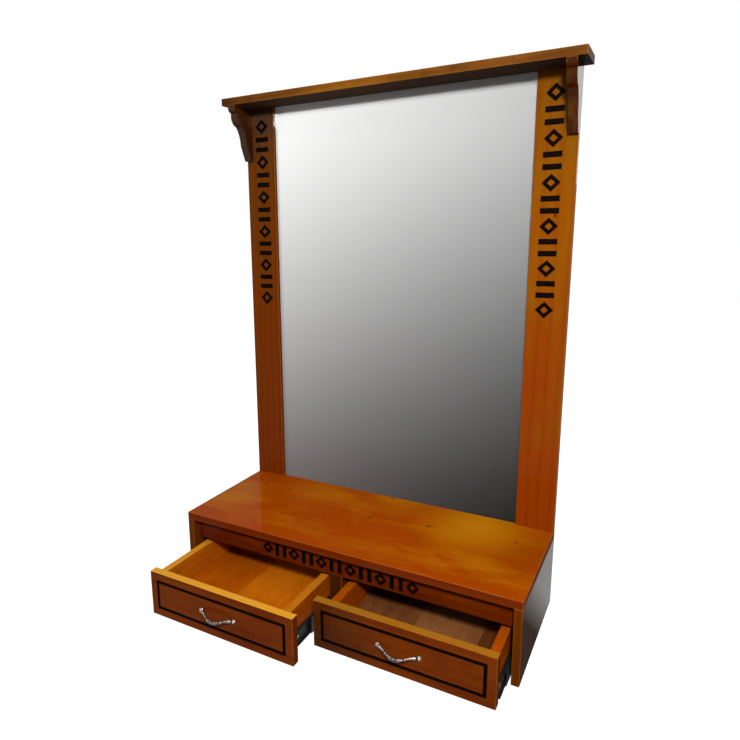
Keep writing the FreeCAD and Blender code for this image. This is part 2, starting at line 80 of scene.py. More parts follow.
def linear(code):
    """An sRGB hex colour as linear red, green, blue and an alpha of one."""
    parts = [int(code[i:i + 2], 16) / 255 for i in (1, 3, 5)]
    light = [p / 12.92 if p <= 0.04045 else ((p + 0.055) / 1.055) ** 2.4 for p in parts]
    return (*light, 1.0)


def colour(name, description, code):
    """A colour setting whose default is an sRGB hex value."""
    return FloatVectorProperty(name=name, description=description, subtype="COLOR", size=4,
                               min=0.0, max=1.0, default=linear(code))


def length(name, description, millimetres):
    """A length setting whose default is given in millimetres."""
    return FloatProperty(name=name, description=description, unit="LENGTH", min=0.0,
                         default=millimetres * MM)


def share(name, description, value):
    """A setting between nought and one."""
    return FloatProperty(name=name, description=description, subtype="FACTOR", min=0.0, max=1.0,
                         default=value)


def point(name, description, place):
    """A setting for a place in metres."""
    return FloatVectorProperty(name=name, description=description, subtype="TRANSLATION",
                               unit="LENGTH", default=place)


def power(name, description, watts):
    """A setting for the power of a light."""
    return FloatProperty(name=name, description=description, unit="POWER", min=0.0, default=watts)


# ---- settings

# Each stain: its light and its dark figure
STAINS = {
    "amber": ("#B27208", "#903A00"),
    "russet": ("#884306", "#6B2600"),
    "chestnut": ("#723200", "#541700"),
    "tawny": ("#5A2E02", "#6A2900"),
    "copper": ("#7C4C03", "#813100"),
    "walnut": ("#7F4D17", "#371A07"),
    "honey": ("#B6620A", "#943F00"),
    "drift": ("#895933", "#592F12"),
}

# Each light: what it is, its middle in metres, its side in millimetres and its power in watts
LIGHTS = {
    "lamp": ("the lamp at the right", (0.95, -1.7, 1.72), 260.0, 62.0),
    "window": ("the window light", (-3.0, -2.0, 1.6), 900.0, 24.0),
    "ceiling": ("the ceiling light", (0.0, -0.9, 3.0), 2400.0, 26.0),
    "rear": ("the light behind", (0.3, 2.6, 2.0), 1800.0, 45.0),
}


class StationWoodSettings(bpy.types.PropertyGroup):
    """Stains, figure and lacquer of the boards"""

    # Painted shade and reflection: grey brown for faces in shade and for glossy faces that mirror the room
    painted_shade_and_sheen: colour("Smoke", "Outer and under faces darkened to grey brown", "#3E3129")
    # Painted light on the drawers' upper faces, partly a lighter edge lacquered with hardly any stain
    straw_and_top_light: colour("Straw", "Upper edges of the drawers, lacquered with hardly any stain", "#CC9026")
    late_wood: colour("Late wood", "Tint of the dense part of each growth ring", "#C48A50")
    knot: colour("Knot", "Pin knots and pitch flecks", "#4A1600")
    end_grain: colour("End grain", "Sawn ends, which soak up the most stain", "#5E280A")
    worn_edge: colour("Worn edge", "Arrises where the stain is rubbed thin", "#B7792D")
    ring_spacing: length("Ring spacing", "Distance between growth rings", 9.0)
    fibre_width: length("Fibre width", "Width of a fibre streak, drawn coarse enough to show", 2.4)
    knot_spacing: length("Knot spacing", "Usual distance between pin knots", 50.0)
    edge_wear_width: length("Edge wear width", "How far the wear reaches in from an arris", 1.8)
    blotching: share("Blotching", "How far the blotches move the depth of colour", 0.28)
    figuring: share("Figuring", "How far the finer figure moves the depth of colour", 0.16)
    ring_tint: share("Ring tint", "Strength of the growth rings", 0.2)
    fibre_tint: share("Fibre tint", "Strength of the fibre streaks", 0.1)
    end_tint: share("End tint", "How much darker the sawn ends are", 0.4)
    knot_tint: share("Knot tint", "Strength of the pin knots", 0.8)
    edge_wear: share("Edge wear", "How much of the stain is rubbed off the arrises", 0.55)
    gloss: share("Gloss", "Weight of the clear lacquer coat", 0.24)
    dull_gloss: share("Dull gloss", "Share of the gloss that is left on ends and undersides", 0.15)
    wave_height: length("Wave height", "Height of the soft waves in the lacquer", 0.12)
    fibre_sink: length("Fibre sink", "How deep the lacquer sank into the fibres", 0.05)
    roughness: share("Roughness", "Roughness of the stained surface under the coat", 0.4)


for stain, figures in STAINS.items():
    for tone, code in zip(("light", "dark"), figures):
        StationWoodSettings.__annotations__[f"{stain}_{tone}"] = colour(
            f"{stain.title()}, {tone}", f"{tone.title()} figure of the {stain} stain", code)


class StationGlassSettings(bpy.types.PropertyGroup):
    """The mirror's painted shade and silvering"""

    # Corners of the mirror's painted reflection
    bright: FloatProperty(name="Bright corner", description="Lightness at the upper left corner",
                          min=0.0, max=1.2, default=0.98)
    painted_dim: share("Dim corner", "Lightness at the lower right corner", 0.19)
    slant: FloatProperty(name="Slant", description="Sideways share of the shade's direction",
                         default=0.83)
    silvering: share("Silvering", "How much of the upper part reflects as metal", 0.3)
    silvering_start: share("Silvering start", "Lightness at which the silvering begins to tell", 0.52)
    silvering_full: share("Silvering full", "Lightness at which the silvering tells in full", 0.85)
    roughness: share("Roughness", "Roughness of the polished glass", 0.03)


class StationMetalSettings(bpy.types.PropertyGroup):
    """Colours of the handles, slides and screws"""

    nickel: colour("Nickel", "Polished high spots of the handles", "#C4B2AA")
    patina: colour("Patina", "Dark antiquing in the hollows of the handles", "#241A17")
    zinc: colour("Zinc", "Zinc plate on screws and hanger plates", "#B4B6B2")
    # Near black: partly the steel's blackening, partly painted shade of the dark gap the slides run in
    slide_steel: colour("Slide steel", "Blackened steel of the telescopic slides", "#1C1D1E")
    slide_grease: colour("Slide grease", "Grease and dust in the slides", "#0C0B0A")


class StationTrimSettings(bpy.types.PropertyGroup):
    """The black ornament and lines, the backing, the dowels and the brackets' edges"""

    inlay: colour("Inlay", "Black strips let into the posts and the apron", "#070403")
    line_paint: colour("Line paint", "Paint in the routed line of the drawer fronts", "#050201")
    line_inset: length("Line inset", "From the edge of a drawer front to its routed line", 20.0)
    line_width: length("Line width", "Width of the routed line at the face", 7.0)
    line_floor: length("Line floor", "Width of the routed line at its floor", 3.6)
    line_depth: length("Line depth", "Depth of the routed line", 2.4)
    line_spill: length("Line spill", "How far the paint runs over the arris of the line", 0.4)
    paint_film: length("Paint film", "Thickness of the paint", 0.06)
    backing: colour("Backing", "Hardboard behind the glass", "#6B4A2C")
    plain_beech: colour("Plain beech", "Unstained dowels", "#C8A070")
    bracket_ease: length("Bracket ease", "Rounding along the sawn edges of the brackets", 1.6)


class StationHandleSettings(bpy.types.PropertyGroup):
    """Sizes of the bow handles"""

    pitch: length("Pitch", "Distance between the two feet", 96.0)
    foot_height: length("Foot height", "Height of the feet above the floor", 61.5)
    rosette_radius: length("Rosette radius", "Radius of the petalled feet", 6.4)
    petals: IntProperty(name="Petals", description="Petals round each foot", min=3, max=16, default=8)


class StationStudioSettings(bpy.types.PropertyGroup):
    """Camera, lights and floor"""

    camera_place: point("Camera place", "Where the camera stands", (0.66922, -1.37279, 0.94914))
    camera_turn: FloatVectorProperty(name="Camera turn", description="How the camera is turned",
                                     subtype="EULER", unit="ROTATION",
                                     default=(math.radians(78.4017), math.radians(0.9485),
                                              math.radians(29.8455)))
    focal_length: FloatProperty(name="Focal length", description="Lens length in millimetres",
                                default=30.2285)
    shift_x: FloatProperty(name="Shift X", description="Sideways shift of the frame", default=0.06746)
    shift_y: FloatProperty(name="Shift Y", description="Upward shift of the frame", default=-0.01427)
    lights_aim: point("Lights' aim", "Where all the lights point", (0.0, 0.0, 0.5))
    room_light: share("Room light", "Level of the even light from all round", 0.16)
    floor_size: length("Floor size", "Side of the floor", 16000.0)
    floor: colour("Floor", "Pale floor", "#8E8E8C")
    floor_lift: share("Floor lift", "How far the shadows near the piece are lifted to white", 0.92)
    lift_start: length("Lift start", "Distance at which the floor begins to fade to white", 600.0)
    lift_end: length("Lift end", "Distance at which the floor is all white", 1600.0)


for light, (what, middle, side, watts) in LIGHTS.items():
    StationStudioSettings.__annotations__.update({
        f"{light}_place": point(f"{light.title()} place", f"Middle of {what}", middle),
        f"{light}_size": length(f"{light.title()} size", f"Side of {what}", side),
        f"{light}_power": power(f"{light.title()} power", f"Power of {what}", watts)})


# ---- tools

def set_inputs(tree, node, inputs):
    """Sets or links each of a node's inputs; another node stands for its first output."""
    for key, value in inputs.items():
        if isinstance(value, bpy.types.Node):
            value = value.outputs[0]
        if isinstance(value, bpy.types.NodeSocket):
            tree.links.new(value, node.inputs[key])
        else:
            node.inputs[key].default_value = value


def add_node(tree, kind, settings=None, inputs=None):
    """Adds a shader node, applies its settings, and sets or links each of its inputs."""
    node = tree.nodes.new("ShaderNode" + kind)
    for key, value in (settings or {}).items():
        setattr(node, key, value)
    set_inputs(tree, node, inputs or {})
    return node


def start_material(name, **sockets):
    """A new material, its tree, its shader with the even values set, and the place on the object."""
    material = bpy.data.materials.new(name)
    material.use_nodes = True
    tree = material.node_tree
    shader = tree.nodes["Principled BSDF"]
    set_inputs(tree, shader, {key.replace("_", " "): value for key, value in sockets.items()})
    place = add_node(tree, "TexCoord").outputs["Object"]
    return material, tree, shader, place


def per_size(*millimetres):
    """The mapping scale at which one unit of a pattern has the given size."""
    return [1 / (size * MM) for size in millimetres]


def shade(base, factor):
    """A colour made darker or lighter by a factor."""
    return [c * factor for c in base[:3]] + [1.0]


def mottled(name, first, second, size, detail, relief, **sockets):
    """A material mottled in two colours, with specks of a size and a relief given in millimetres."""
    material, tree, shader, place = start_material(name, **sockets)
    space = add_node(tree, "Mapping", inputs={"Vector": place, "Scale": per_size(*size)})
    specks = add_node(tree, "TexNoise", inputs={"Vector": space, "Scale": 1.0, "Detail": detail})
    tone = add_node(tree, "Mix", {"data_type": "RGBA"}, {
        SHARE: specks, FIRST: first, SECOND: second}).outputs[MIXED]
    bump = add_node(tree, "Bump", inputs={"Height": specks, "Distance": relief * MM})
    set_inputs(tree, shader, {"Base Color": tone, "Normal": bump})
    return material


def dress(node, material):
    """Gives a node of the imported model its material."""
    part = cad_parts[node]
    if not part.material_slots:
        part.data.materials.append(material)
    for slot in part.material_slots:
        slot.material = material


def put_in_order(shape):
    """Gives points, edges and faces one order in each run; the bmesh tools leave them in a changing one."""
    def by_place(vertex):
        return [round(c / FINEST) for c in vertex.co]

    def by_corners(part):
        return sorted(v.index for v in part.verts)

    for parts, order in ((shape.verts, by_place), (shape.edges, by_corners), (shape.faces, by_corners)):
        for i, part in enumerate(sorted(parts, key=order)):
            part.index = i
        parts.sort()


def as_object(name, shape):
    """A new object of the scene from a bmesh, which is put in order and freed."""
    put_in_order(shape)
    mesh = bpy.data.meshes.new(name)
    shape.to_mesh(mesh)
    shape.free()
    piece = bpy.data.objects.new(name, mesh)
    bpy.context.scene.collection.objects.link(piece)
    return piece


# ---- wood

# Turns that lay a board's grain along the pattern's X
GRAIN_TURN = {"X": (0.0, 0.0, 0.0), "Y": (0.0, 0.0, -math.pi / 2), "Z": (0.0, math.pi / 2, 0.0)}

# Each board: its grain, its stain, and the depth of colour at the low and the high end of its grain
BOARDS = {
    "top_board": ("X", "amber", 0.02, 0.06),
    "left_side_panel": ("Z", "tawny", 0.8, 0.8),
    "right_side_panel": ("Z", "tawny", 0.5, 0.7),
    "centre_divider": ("Z", "chestnut", 0.3, 0.4),
    "apron_rail": ("X", "chestnut", 0.1, 0.2),
    "hanging_rail": ("X", "russet", 0.4, 0.4),
    "rear_stretcher": ("X", "russet", 0.4, 0.4),
    # The left post grows darker towards the top: painted shade under the cornice and its bracket
    "left_post": ("Z", "tawny", -0.1, 1.0),
    "right_post": ("Z", "copper", -0.2, 1.0),
    "cornice_board": ("X", "walnut", 0.3, 0.4),
    "left_drawer_front": ("X", "chestnut", 0.6, 0.6),
    # The right drawer front grows a little lighter towards the right: painted light from the lamp side
    "right_drawer_front": ("X", "chestnut", 0.6, 0.7),
    "left_drawer_inner_side": ("Y", "honey", 0.2, 0.2),
    "left_drawer_outer_side": ("Y", "honey", 0.6, 0.6),
    "left_drawer_back": ("X", "honey", 0.2, 0.2),
    "left_drawer_bottom": ("Y", "honey", 0.36, 0.41),
    "right_drawer_inner_side": ("Y", "honey", 0.1, 0.1),
    "right_drawer_outer_side": ("Y", "honey", 0.1, 0.1),
    "right_drawer_back": ("X", "honey", 0.2, 0.2),
    "right_drawer_bottom": ("Y", "drift", 0.4, 0.4),
}

# Faces whose colour turns by the way they face: the way they face, the colour and how much of it shows.
# The top's front edge took a darker stain. The rest are painted: grey painted reflections on the outer
# faces of the side panels and the cornice's right end, painted shade on the cornice's underside, the
# divider's front edge and the left bracket's front and under faces, and painted light on the upper faces
# of the drawers, partly a lighter edge with hardly any stain.
FACES = {
    "top_board": [(FORWARD, "chestnut_dark", 0.75)],
    "left_side_panel": [(LEFT, "painted_shade_and_sheen", 0.75)],
    "right_side_panel": [(RIGHT, "painted_shade_and_sheen", 0.85)],
    "cornice_board": [(DOWN, "painted_shade_and_sheen", 0.9), (RIGHT, "painted_shade_and_sheen", 0.5)],
    "centre_divider": [(FORWARD, "walnut_dark", 0.85)],
    "left_bracket": [((0, -0.8, -0.6), "painted_shade_and_sheen", 0.7)],
    "left_drawer_front": [(UP, "straw_and_top_light", 1.0)],
    "right_drawer_front": [(UP, "straw_and_top_light", 0.35)],
    "left_drawer_inner_side": [(UP, "straw_and_top_light", 0.3)],
    "left_drawer_outer_side": [(UP, "straw_and_top_light", 0.7)],
}

# Patches where the colour turns towards another: the middle of each and its reach in millimetres, the
# colour it turns to, and how much of that shows in the middle. On the top they are painted pools of
# light and painted reflections, partly uneven stain; on the posts, painted shade under the cornice and
# brackets; on the right drawer front, painted shade towards its lower left corner; on the cornice, a
# darker left end and a lighter middle.
ZONES = {
    "top_board": [((-200, 120, 200), 160, "amber_light", 0.3), ((40, 179, 200), 120, "amber_light", 0.6),
                  ((-400, 0, 200), 130, "amber_light", 0.35), ((280, 120, 200), 210, "amber_light", 1.0),
                  ((440, 20, 200), 170, "chestnut_light", 0.5)],
    "right_post": [((400, 161, 1320), 360, "walnut_dark", 0.35)],
    "left_post": [((-400, 161, 1310), 190, "painted_shade_and_sheen", 0.7)],
    "right_drawer_front": [((-10, -269, 10), 240, "walnut_dark", 0.8)],
    "cornice_board": [((-470, 77, 1300), 90, "walnut_dark", 0.8),
                      ((-60, 77, 1303), 240, "amber_light", 0.2)],
}

# Boards whose gloss is uneven: the direction in which it changes, where along it in millimetres the change
# starts and ends, and the share of the usual gloss at each
GLOSS = {
    "right_side_panel": ((0, 0.8, 1), 15, 140, 0.1, 1.95),
    "left_side_panel": ((0, 1, 0.7), -120, 190, 0.5, 1.5),
}
EVEN_GLOSS = (UP, 0, 1, 1.0, 1.0)

# Each drawer bottom changes colour at two lines: where each line runs, and the change of colour there.
# On the left drawer both are glue lines between three strips; on the right drawer the first is a glue
# line, and the second starts a painted shadow along the right side.
GLUE_LINES = {
    "left_drawer_bottom": [(-0.249, 0.47), (-0.100, -0.3)],
    "right_drawer_bottom": [(0.199, 0.25), (0.348, -0.9)],
}

# Steps in metres by which the patterns of boards with different names are moved apart
PATTERN_STEPS = (0.37, 0.61, 0.23)

# Phase that the rings of the wave pattern run through per unit of distance
RING_PHASE = 20

# Cosines at which a face begins to count as turned a given way, and at which it does so in full
TURN_BEGINS, TURN_FULL = 0.6, 0.95

# Shares of a zone's reach: how far the blotches ruffle its rim, and where its colour is full and gone
ZONE_RUFFLE, ZONE_FULL, ZONE_GONE = 0.6, -0.4, 0.8

# Size of a cell of the knot pattern along and across the grain, as shares of the usual distance
KNOT_CELL = (1.5, 0.7, 0.7)

# The random number up to which a cell's knot is only a fleck, the radius of the widest knot in cells, and
# how far inside a knot's radius its colour begins and is full
FLECKS_UP_TO, WIDEST_KNOT, KNOT_RIM = 0.1, 0.1, (-0.04, 0.02)

# Sums of the nearness to a board's faces at which the wear begins and is full
WEAR_BEGINS, WEAR_FULL = 1.15, 1.7

# How much smoother and how much rougher than usual the blotches leave the surface
SMOOTHER, ROUGHER = 0.06, 0.08


def board_patterns(tree, board):
    """The blotches, figure, fibres, lacquer waves and growth rings of a board, by name."""
    wood = bpy.context.scene.station_wood
    fibre = wood.fibre_width / MM
    patterns = {}
    # Each noise: its name, its size in millimetres along and across the grain, and its other inputs
    for name, size, inputs in (
            ("blotch", (260, 110, 110), {"Detail": 3.0, "Roughness": 0.55}),
            ("figure", (90, 24, 24), {"Detail": 4.0, "Distortion": 0.8}),
            ("fibre", (90, fibre, fibre), {"Detail": 2.0}),
            ("waves", (24, 14, 14), {"Detail": 1.0})):
        space = add_node(tree, "Mapping", inputs={"Vector": board, "Scale": per_size(*size)})
        patterns[name] = add_node(tree, "TexNoise", inputs={"Vector": space, "Scale": 1.0, **inputs})
    # A growth ring is one full turn of the wave's phase, drawn out four times longer along the grain.
    space = add_node(tree, "Mapping", inputs={"Vector": board, "Scale": (0.25, 1.0, 1.0)})
    patterns["rings"] = add_node(tree, "TexWave", {"wave_type": "RINGS", "rings_direction": "X"}, {
        "Vector": space, "Scale": FULL_TURN / RING_PHASE / wood.ring_spacing, "Distortion": 7.0,
        "Detail": 2.0, "Detail Scale": 0.16}).outputs[1]
    return patterns


def stain_depth(tree, node, place, along, start, end, patterns):
    """The depth of colour from one end of a board to the other, moved up and down by the patterns.

    The start and the end are a coordinate along the grain and the depth there.
    """
    wood = bpy.context.scene.station_wood
    split = add_node(tree, "SeparateXYZ", inputs={0: place})
    depth = add_node(tree, "MapRange", inputs={
        "Value": split.outputs[along], "From Min": start[0], "From Max": end[0], "To Min": start[1],
        "To Max": end[1]})
    changes = [(split.outputs["X"], line - MM / 2, line + MM / 2, 0.0, change)
               for line, change in GLUE_LINES.get(node, [])]
    changes += [(patterns[name], NOISE_LOW, NOISE_HIGH, -strength, strength)
                for name, strength in (("blotch", wood.blotching), ("figure", wood.figuring))]
    for value, low, high, least, most in changes:
        moved = add_node(tree, "MapRange", inputs={
            "Value": value, "From Min": low, "From Max": high, "To Min": least, "To Max": most})
        depth = add_node(tree, "Math", inputs={0: depth, 1: moved})
    return add_node(tree, "Math", {"use_clamp": True}, {0: depth, 1: 0.0})


def turned(tree, way, away, towards):
    """One number on the faces turned away from a direction, and another on those turned to it."""
    facing = add_node(tree, "NewGeometry").outputs["Normal"]
    cosine = add_node(tree, "VectorMath", {"operation": "DOT_PRODUCT"}, {
        0: facing, 1: way}).outputs["Value"]
    return add_node(tree, "MapRange", inputs={
        "Value": cosine, "From Min": TURN_BEGINS, "From Max": TURN_FULL, "To Min": away,
        "To Max": towards})


def zone(tree, place, blotch, centre, radius, most):
    """The mask of a patch where the colour turns towards another: painted light or shade, or uneven stain.
    """
    away = add_node(tree, "VectorMath", {"operation": "DISTANCE"}, {
        0: place, 1: [c * MM for c in centre]}).outputs["Value"]
    # The blotches ruffle the rim of the zone, so that it doesn't read as a disc.
    ruffled = add_node(tree, "Math", {"operation": "MULTIPLY_ADD"}, {
        0: blotch, 1: -ZONE_RUFFLE * radius * MM, 2: away})
    return add_node(tree, "MapRange", {"interpolation_type": "SMOOTHSTEP"}, {
        "Value": ruffled, "From Min": ZONE_FULL * radius * MM, "From Max": ZONE_GONE * radius * MM,
        "To Min": most, "To Max": 0.0})


def pin_knots(tree, board):
    """The mask of the pin knots, one in each cell of a pattern, as wide as the cell's random colour says."""
    wood = bpy.context.scene.station_wood
    space = add_node(tree, "Mapping", inputs={
        "Vector": board, "Scale": per_size(*[wood.knot_spacing / MM * k for k in KNOT_CELL])})
    cells = add_node(tree, "TexVoronoi", inputs={"Vector": space, "Scale": 1.0})
    chosen = add_node(tree, "SeparateColor", inputs={0: cells.outputs["Color"]})
    reach = add_node(tree, "MapRange", inputs={
        "Value": chosen, "From Min": FLECKS_UP_TO, "To Max": WIDEST_KNOT})
    spare = add_node(tree, "Math", {"operation": "SUBTRACT"}, {0: reach, 1: cells.outputs["Distance"]})
    return add_node(tree, "MapRange", inputs={
        "Value": spare, "From Min": KNOT_RIM[0], "From Max": KNOT_RIM[1], "To Max": wood.knot_tint})


def rubbed_arrises(tree, place, low, high, figure):
    """The mask of the worn arrises of a board between its two corners, uneven along them."""
    wood = bpy.context.scene.station_wood
    # Near a face one of the three nearness values is one, and near an arris two of them are.
    near = place
    for operation, value in (
            ("SUBTRACT", {1: (low + high) / 2}), ("ABSOLUTE", {}), ("SUBTRACT", {1: (high - low) / 2}),
            ("MULTIPLY", {1: (1 / wood.edge_wear_width,) * 3}), ("ADD", {1: (1, 1, 1)}),
            ("MAXIMUM", {1: (0, 0, 0)})):
        near = add_node(tree, "VectorMath", {"operation": operation}, {0: near, **value})
    arris = add_node(tree, "VectorMath", {"operation": "DOT_PRODUCT"}, {
        0: near, 1: (1, 1, 1)}).outputs["Value"]
    worn = add_node(tree, "MapRange", inputs={
        "Value": arris, "From Min": WEAR_BEGINS, "From Max": WEAR_FULL, "To Max": wood.edge_wear})
    return add_node(tree, "Math", {"operation": "MULTIPLY"}, {0: worn, 1: figure})


def coat_weight(tree, node, place, ends):
    """The weight of the lacquer coat; ends and undersides drank the lacquer and stayed dull."""
    wood = bpy.context.scene.station_wood
    way, start, end, least, most = GLOSS.get(node, EVEN_GLOSS)
    across = add_node(tree, "VectorMath", {"operation": "DOT_PRODUCT"}, {
        0: place, 1: way}).outputs["Value"]
    weight = add_node(tree, "MapRange", inputs={
        "Value": across, "From Min": start * MM, "From Max": end * MM, "To Min": least * wood.gloss,
        "To Max": most * wood.gloss})
    for way in (*ends, DOWN):
        kept = turned(tree, way, 1.0, wood.dull_gloss)
        weight = add_node(tree, "Math", {"operation": "MULTIPLY"}, {0: weight, 1: kept})
    return weight


def stained_pine(node, grain, stain, low_depth, high_depth):
    """Planed pine, stained and sprayed with gloss lacquer.

    The eye sees blotches where the stain was taken up unevenly, faint growth rings and fibres along the
    grain, a few pin knots, dark ends, arrises rubbed light, and a wavy gloss over all of it. Some faces and
    patches carry painted light, shade and reflections instead of stain.
    """
    wood = bpy.context.scene.station_wood
    material, tree, shader, place = start_material(
        f"Stained lacquered pine {node}", Roughness=wood.roughness, IOR=1.45, Coat_IOR=1.2,
        Specular_IOR_Level=0.0, Coat_Roughness=0.06)
    low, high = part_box(node)
    along = "XYZ".index(grain)
    ends = [way for way in (RIGHT, LEFT, BACKWARD, FORWARD, UP, DOWN) if way[along]]
    counts = (1 + sum(map(ord, node)) % 17, len(node), len(node))
    board = add_node(tree, "Mapping", inputs={
        "Vector": place, "Rotation": GRAIN_TURN[grain],
        "Location": [step * count for step, count in zip(PATTERN_STEPS, counts)]})
    patterns = board_patterns(tree, board)
    blotch = patterns["blotch"]

    # The layers of colour, from the first to the last: a mask, a colour and how the two are mixed
    depth = stain_depth(tree, node, place, along, (low[along], low_depth), (high[along], high_depth),
                        patterns)
    layers = [(depth, getattr(wood, f"{stain}_light"), "MIX")]
    for centre, radius, finish, most in ZONES.get(node, []):
        mask = zone(tree, place, blotch, centre, radius, most)
        layers.append((mask, getattr(wood, finish), "MIX"))
    for way, finish, most in [(way, "end_grain", wood.end_tint) for way in ends] + FACES.get(node, []):
        layers.append((turned(tree, way, 0.0, most), getattr(wood, finish), "MIX"))
    for name, start, most in (("rings", 0.55, wood.ring_tint), ("fibre", 0.45, wood.fibre_tint)):
        dense = add_node(tree, "MapRange", inputs={
            "Value": patterns[name], "From Min": start, "From Max": 0.95, "To Max": most})
        layers.append((dense, wood.late_wood, "MULTIPLY"))
    layers.append((pin_knots(tree, board), wood.knot, "MIX"))
    worn = rubbed_arrises(tree, place, low, high, patterns["figure"])
    layers.append((worn, wood.worn_edge, "MIX"))
    tone = getattr(wood, f"{stain}_dark")
    for mask, layer, blend in layers:
        tone = add_node(tree, "Mix", {"data_type": "RGBA", "blend_type": blend}, {
            SHARE: mask, FIRST: tone, SECOND: layer}).outputs[MIXED]

    dull = add_node(tree, "MapRange", inputs={
        "Value": blotch, "From Min": NOISE_LOW, "From Max": NOISE_HIGH,
        "To Min": wood.roughness - SMOOTHER, "To Max": wood.roughness + ROUGHER})
    # The lacquer flowed out in soft waves some 14 mm across and sank a little into the fibres.
    flow = add_node(tree, "Bump", inputs={"Height": patterns["waves"], "Distance": wood.wave_height})
    sunk = add_node(tree, "Bump", inputs={
        "Height": patterns["fibre"], "Distance": wood.fibre_sink, "Normal": flow})
    set_inputs(tree, shader, {
        "Base Color": tone, "Roughness": dull, "Coat Weight": coat_weight(tree, node, place, ends),
        "Normal": sunk, "Coat Normal": flow})
    return material


class STATION_OT_stain_boards(bpy.types.Operator):
    """Stain and lacquer every board of the carcass, the mirror frame and the drawers"""

    bl_idname = "station.stain_boards"
    bl_label = "Stain boards"

    def execute(self, context):
        for node, board in BOARDS.items():
            dress(node, stained_pine(node, *board))
        return {"FINISHED"}


# ---- painted lines

def black_paint():
    """Black enamel brushed into a routed line: half gloss, levelled, with faint brush ridges 1 mm apart."""
    paint = bpy.context.scene.station_trim.line_paint
    return mottled("Black brushed enamel", paint, shade(paint, 2.5), size=(1, 1, 1), detail=2.0,
                   relief=0.03, Roughness=0.5, IOR=1.5, Specular_IOR_Level=0.01)


def painted_line(name, node):
    """The film of paint that lines the routed groove of a drawer front, mitred at the corners."""
    trim = bpy.context.scene.station_trim
    low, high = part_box(node)
    middle = (low + high) / 2
    half = (high - low) / 2
    wall = (trim.line_width - trim.line_floor) / 2
    drop = trim.line_depth
    shape = bmesh.new()
    face = bmesh.ops.create_grid(shape, x_segments=1, y_segments=1, size=1.0)["verts"]
    reach = trim.line_inset - trim.line_spill
    bmesh.ops.scale(shape, verts=face, vec=(half.x - reach, half.z - reach, 1.0))
    bmesh.ops.rotate(shape, verts=face, cent=(0, 0, 0), matrix=Matrix.Rotation(math.pi / 2, 3, "X"))
    bmesh.ops.translate(shape, verts=face, vec=(middle.x, low.y - trim.paint_film, middle.z))
    inner = shape.faces[:]
    for inward, depth in ((trim.line_spill, 0), (wall, -drop), (trim.line_floor, 0), (wall, drop),
                          (trim.line_spill, 0)):
        bmesh.ops.inset_region(shape, faces=inner, thickness=inward, depth=depth, use_boundary=True,
                               use_even_offset=True)
    bmesh.ops.delete(shape, geom=inner, context="FACES")
    bmesh.ops.solidify(shape, geom=shape.faces[:], thickness=trim.paint_film / 2)
    return as_object(name, shape)


class STATION_OT_paint_lines(bpy.types.Operator):
    """Paint the routed lines of the drawer fronts black"""

    bl_idname = "station.paint_lines"
    bl_label = "Paint lines"

    def execute(self, context):
        material = black_paint()
        for side in ("left", "right"):
            piece = painted_line(f"{side}_painted_line", f"{side}_drawer_front")
            piece.data.materials.append(material)
            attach(piece, f"{side}_drawer")
        return {"FINISHED"}


# ---- brackets

# A bracket's grain, stain and depths of colour, as for the boards
BRACKET = ("Z", "walnut", -0.1, 0.1)

# Angle up to which two faces count as one, and from which the edge between two is sharp
FLAT, SHARP = math.radians(1), math.radians(25)


def eased_copy(node, name, ease):
    """A copy of a node's solid with its faces merged and its sharp edges rounded over."""
    shape = bmesh.new()
    shape.from_mesh(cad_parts[node].data)
    bmesh.ops.remove_doubles(shape, verts=shape.verts, dist=0.01 * MM)
    bmesh.ops.dissolve_limit(shape, angle_limit=FLAT, verts=shape.verts, edges=shape.edges)
    sharp = [e for e in shape.edges if e.is_manifold and e.calc_face_angle() > SHARP]
    bmesh.ops.bevel(shape, geom=sharp, offset=ease, offset_type="OFFSET", segments=3, profile=0.5,
                    affect="EDGES", material=-1, clamp_overlap=True)
    return as_object(name, shape)


class STATION_OT_ease_brackets(bpy.types.Operator):
    """Make the two brackets with their sawn edges rounded over"""

    bl_idname = "station.ease_brackets"
    bl_label = "Ease brackets"

    def execute(self, context):
        trim = context.scene.station_trim
        for side in ("left", "right"):
            node = f"{side}_bracket"
            piece = eased_copy(node, f"{side}_eased_bracket", trim.bracket_ease)
            piece.data.materials.append(stained_pine(node, *BRACKET))
            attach(piece, "carcass")
            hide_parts(node)
        return {"FINISHED"}


# ---- mirror

# The power of a lightness as the eye judges it that gives the light itself
EYE_POWER = 2.4


def glass_with_painted_reflection():
    """Float glass, silvered and polished; a painted reflection of the room grades its grey from light at the
    window side, the upper left, to dim below at the lower right.
    """
    glass = bpy.context.scene.station_glass
    material, tree, shader, place = start_material(
        "Silvered float glass", Roughness=glass.roughness, IOR=1.5, Specular_IOR_Level=0.03)
    low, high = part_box("mirror_glass")
    # Painted reflection: the grey runs from light at the upper left to dim at the lower right
    across = add_node(tree, "VectorMath", {"operation": "DOT_PRODUCT"}, {
        0: place, 1: (-glass.slant, 0, 1)}).outputs["Value"]
    reach = glass.slant * high.x
    painted_lightness = add_node(tree, "MapRange", inputs={
        "Value": across, "From Min": low.z - reach, "From Max": high.z + reach, "To Min": glass.painted_dim,
        "To Max": glass.bright})
    light = add_node(tree, "Math", {"operation": "POWER", "use_clamp": True}, {
        0: painted_lightness, 1: EYE_POWER})
    grey = add_node(tree, "CombineXYZ", inputs={0: light, 1: light, 2: light})
    metal = add_node(tree, "MapRange", inputs={
        "Value": painted_lightness, "From Min": glass.silvering_start, "From Max": glass.silvering_full,
        "To Max": glass.silvering})
    set_inputs(tree, shader, {"Base Color": grey, "Metallic": metal})
    return material


